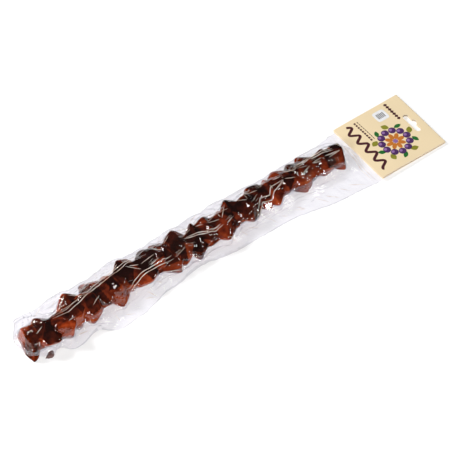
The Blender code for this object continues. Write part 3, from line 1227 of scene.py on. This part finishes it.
def add_leaves(bm, first, ring, width, turn):
    """Every other leaf on a ring round the medallion."""
    for number in range(first, LEAVES, 2):
        x, y, angle = on_ring(ring, number, LEAVES, LEAF_START)
        add_oval(bm, x, y, LEAF_LENGTH, width, angle + turn, pointed=True)


def olive_print(bm):
    """The broad leaves."""
    add_leaves(bm, 0, *BROAD_LEAVES)


def green_print(bm):
    """The slim leaves between them."""
    add_leaves(bm, 1, *SLIM_LEAVES)


def white_print(bm):
    """The plain white square."""
    add_rounded_square(bm, *LABEL_PLACE, LABEL_SIZE)


def grey_print(bm):
    """The square's bars."""
    _, y = LABEL_PLACE
    first, pitch, width, height = LABEL_ROW
    for number in range(LABEL_BARS):
        add_bar(bm, (first + pitch * number) * MM, y, width * MM, height * MM)


PRINTS = (
    ("print_brown", brown_print, "brown", 1),
    ("print_purple", purple_print, "purple", 1),
    ("print_lilac", lilac_print, "lilac", 2),
    ("print_amber", amber_print, "amber", 1),
    ("print_olive", olive_print, "olive", 1),
    ("print_green", green_print, "green", 1),
    ("print_white", white_print, "white", 1),
    ("print_grey", grey_print, "grey", 2),
)


def make_print(name, draw, tint, level, tree):
    """Lays one ink's shapes on the card as a thin skin."""
    bm = bmesh.new()
    draw(bm)
    bmesh.ops.triangulate(bm, faces=[face for face in bm.faces if len(face.verts) > 4])
    bmesh.ops.recalc_face_normals(bm, faces=bm.faces)
    if sum(face.normal.z for face in bm.faces) < 0:
        bmesh.ops.reverse_faces(bm, faces=bm.faces)
    for vert in bm.verts:
        hit, _ = meet(tree, vert.co.x, vert.co.y)
        vert.co.z = hit.z + INK_SHEET * level
    raised = bmesh.ops.extrude_face_region(bm, geom=bm.faces[:])["geom"]
    for item in raised:
        if isinstance(item, bmesh.types.BMVert):
            item.co.z += INK_SHEET
    bmesh.ops.recalc_face_normals(bm, faces=bm.faces)
    piece = as_object(bm, name, ink_material(name, tint))
    piece.data.shade_flat()


def make_card(ink):
    """Gives the folded card its finish and its print."""
    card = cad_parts["header_card"]
    card.data.materials.clear()
    card.data.materials.append(card_material(ink))
    tree = tree_of(card.data)
    for name, draw, tint, level in PRINTS:
        make_print(name, draw, getattr(ink, tint), level, tree)


# The stage


FLOOR_SIZE = 6
FLOOR_DROP = 0.05 * MM
WORLD_GLOW = 0.06
LIGHTS = (
    ("key_light", (-0.7, 1.0, 1.3), 0.45, 31),
    ("side_light", (-1.3, -0.5, 0.9), 0.32, 11),
    ("low_light", (1.2, -0.9, 0.8), 0.22, 6),
    ("front_light", (-0.3, -1.5, 0.45), 0.2, 5),
)


def floor_material():
    """A plain white table that is lit from within."""
    shader = Shader("light_table")
    inputs = {"Base Color": (0.45, 0.45, 0.45, 1), "Roughness": 0.9}
    inputs |= {"Emission Color": (1, 1, 1, 1), "Emission Strength": 0.62}
    return shader.plain(inputs)


def add_floor():
    """The table, just under the pack."""
    bm = bmesh.new()
    bmesh.ops.create_grid(bm, x_segments=1, y_segments=1, size=FLOOR_SIZE)
    floor = add_object("floor", as_mesh(bm, "floor"))
    floor.location.z = -FLOOR_DROP
    floor.data.materials.append(floor_material())


def point_at(thing, way):
    """Turns a light or the camera to look along a way."""
    thing.rotation_euler = way.to_track_quat("-Z", "Y").to_euler()


def add_softbox(name, place, target, size, power):
    """A square light at place that shines at target."""
    lamp = bpy.data.lights.new(name, "AREA")
    lamp.size = size
    lamp.energy = power
    box = add_object(name, lamp)
    box.location = place
    point_at(box, target - Vector(place))


def light_world():
    """The world round the pack: white behind it, and dim as a light."""
    world = bpy.data.worlds.new("studio")
    bpy.context.scene.world = world
    world.use_nodes = True
    nodes, links = world.node_tree.nodes, world.node_tree.links
    background = nodes["Background"]
    background.inputs["Color"].default_value = (1, 1, 1, 1)
    ray = nodes.new("ShaderNodeLightPath")
    strength = nodes.new("ShaderNodeMapRange")
    strength.inputs["To Min"].default_value = WORLD_GLOW
    strength.inputs["To Max"].default_value = 1.0
    links.new(ray.outputs["Is Camera Ray"], strength.inputs["Value"])
    links.new(strength.outputs["Result"], background.inputs["Strength"])


def add_camera(stage, middle):
    """The camera, far off with a long lens."""
    lens = bpy.data.cameras.new("camera")
    lens.lens = lens.sensor_width * stage.distance / stage.view_width
    lens.clip_end = stage.distance * 3
    camera = add_object("camera", lens)
    flat = math.cos(stage.elevation)
    down = math.sin(stage.elevation)
    ahead = Vector((math.sin(stage.azimuth) * flat, math.cos(stage.azimuth) * flat, -down))
    camera.location = middle - ahead * stage.distance
    point_at(camera, ahead)
    bpy.context.scene.camera = camera


def make_stage(stage):
    """The floor, the lights and the camera."""
    add_floor()
    light_world()
    middle = Vector((stage.middle_x, stage.middle_y, 0))
    for name, place, size, power in LIGHTS:
        add_softbox(name, place, middle, size, power)
    add_camera(stage, middle)
    bpy.context.scene.view_settings.view_transform = "Standard"


# Operators, panel and registration


class Maker:
    """What the operators share: each makes its part of the pack from the scene's settings."""

    def execute(self, context):
        self.make(context.scene.pack)
        return {"FINISHED"}


class PACK_OT_stage(Maker, bpy.types.Operator):
    """Makes the floor, the lights and the camera"""

    bl_idname = "pack.stage"
    bl_label = "Stage"

    def make(self, pack):
        make_stage(pack.stage)


class PACK_OT_dipped_nuts(Maker, bpy.types.Operator):
    """Makes the churchkhela"""

    bl_idname = "pack.dipped_nuts"
    bl_label = "Dipped nuts"

    def make(self, pack):
        make_dipped_nuts(pack.nuts)


class PACK_OT_crumb(Maker, bpy.types.Operator):
    """Makes the crumb beside the nuts"""

    bl_idname = "pack.crumb"
    bl_label = "Crumb"

    def make(self, pack):
        add_crumb()


class PACK_OT_clear_film(Maker, bpy.types.Operator):
    """Makes the clear pouch, drawn tight over the nuts"""

    bl_idname = "pack.clear_film"
    bl_label = "Clear film"

    def make(self, pack):
        make_film(pack.film, pack.nuts)


class PACK_OT_header_card(Maker, bpy.types.Operator):
    """Finishes the header card and prints its shapes"""

    bl_idname = "pack.header_card"
    bl_label = "Header card"

    def make(self, pack):
        make_card(pack.ink)


class PACK_PT_panel(bpy.types.Panel):
    """Lists the pack's settings and the pieces that can be made"""

    bl_label = "Churchkhela"
    bl_idname = "PACK_PT_panel"
    bl_space_type = "VIEW_3D"
    bl_region_type = "UI"
    bl_category = "Churchkhela"

    def draw(self, context):
        pack = context.scene.pack
        for settings in (pack.nuts, pack.film, pack.ink, pack.stage):
            box = self.layout.box()
            for name in settings.bl_rna.properties.keys():
                if name not in ("rna_type", "name"):
                    box.prop(settings, name)
        for operator in OPERATORS:
            self.layout.operator(operator.bl_idname)


SETTINGS = (NutSettings, FilmSettings, InkSettings, StageSettings, PackSettings)
OPERATORS = (PACK_OT_stage, PACK_OT_dipped_nuts, PACK_OT_crumb, PACK_OT_clear_film, PACK_OT_header_card)


def register():
    for kind in (*SETTINGS, *OPERATORS, PACK_PT_panel):
        bpy.utils.register_class(kind)
    bpy.types.Scene.pack = PointerProperty(type=PackSettings)


def unregister():
    del bpy.types.Scene.pack
    for kind in reversed((*SETTINGS, *OPERATORS, PACK_PT_panel)):
        bpy.utils.unregister_class(kind)


def main():
    register()
    bpy.ops.pack.stage()
    bpy.ops.pack.dipped_nuts()
    bpy.ops.pack.crumb()
    bpy.ops.pack.clear_film()
    bpy.ops.pack.header_card()


if __name__ == "__main__":
    main()
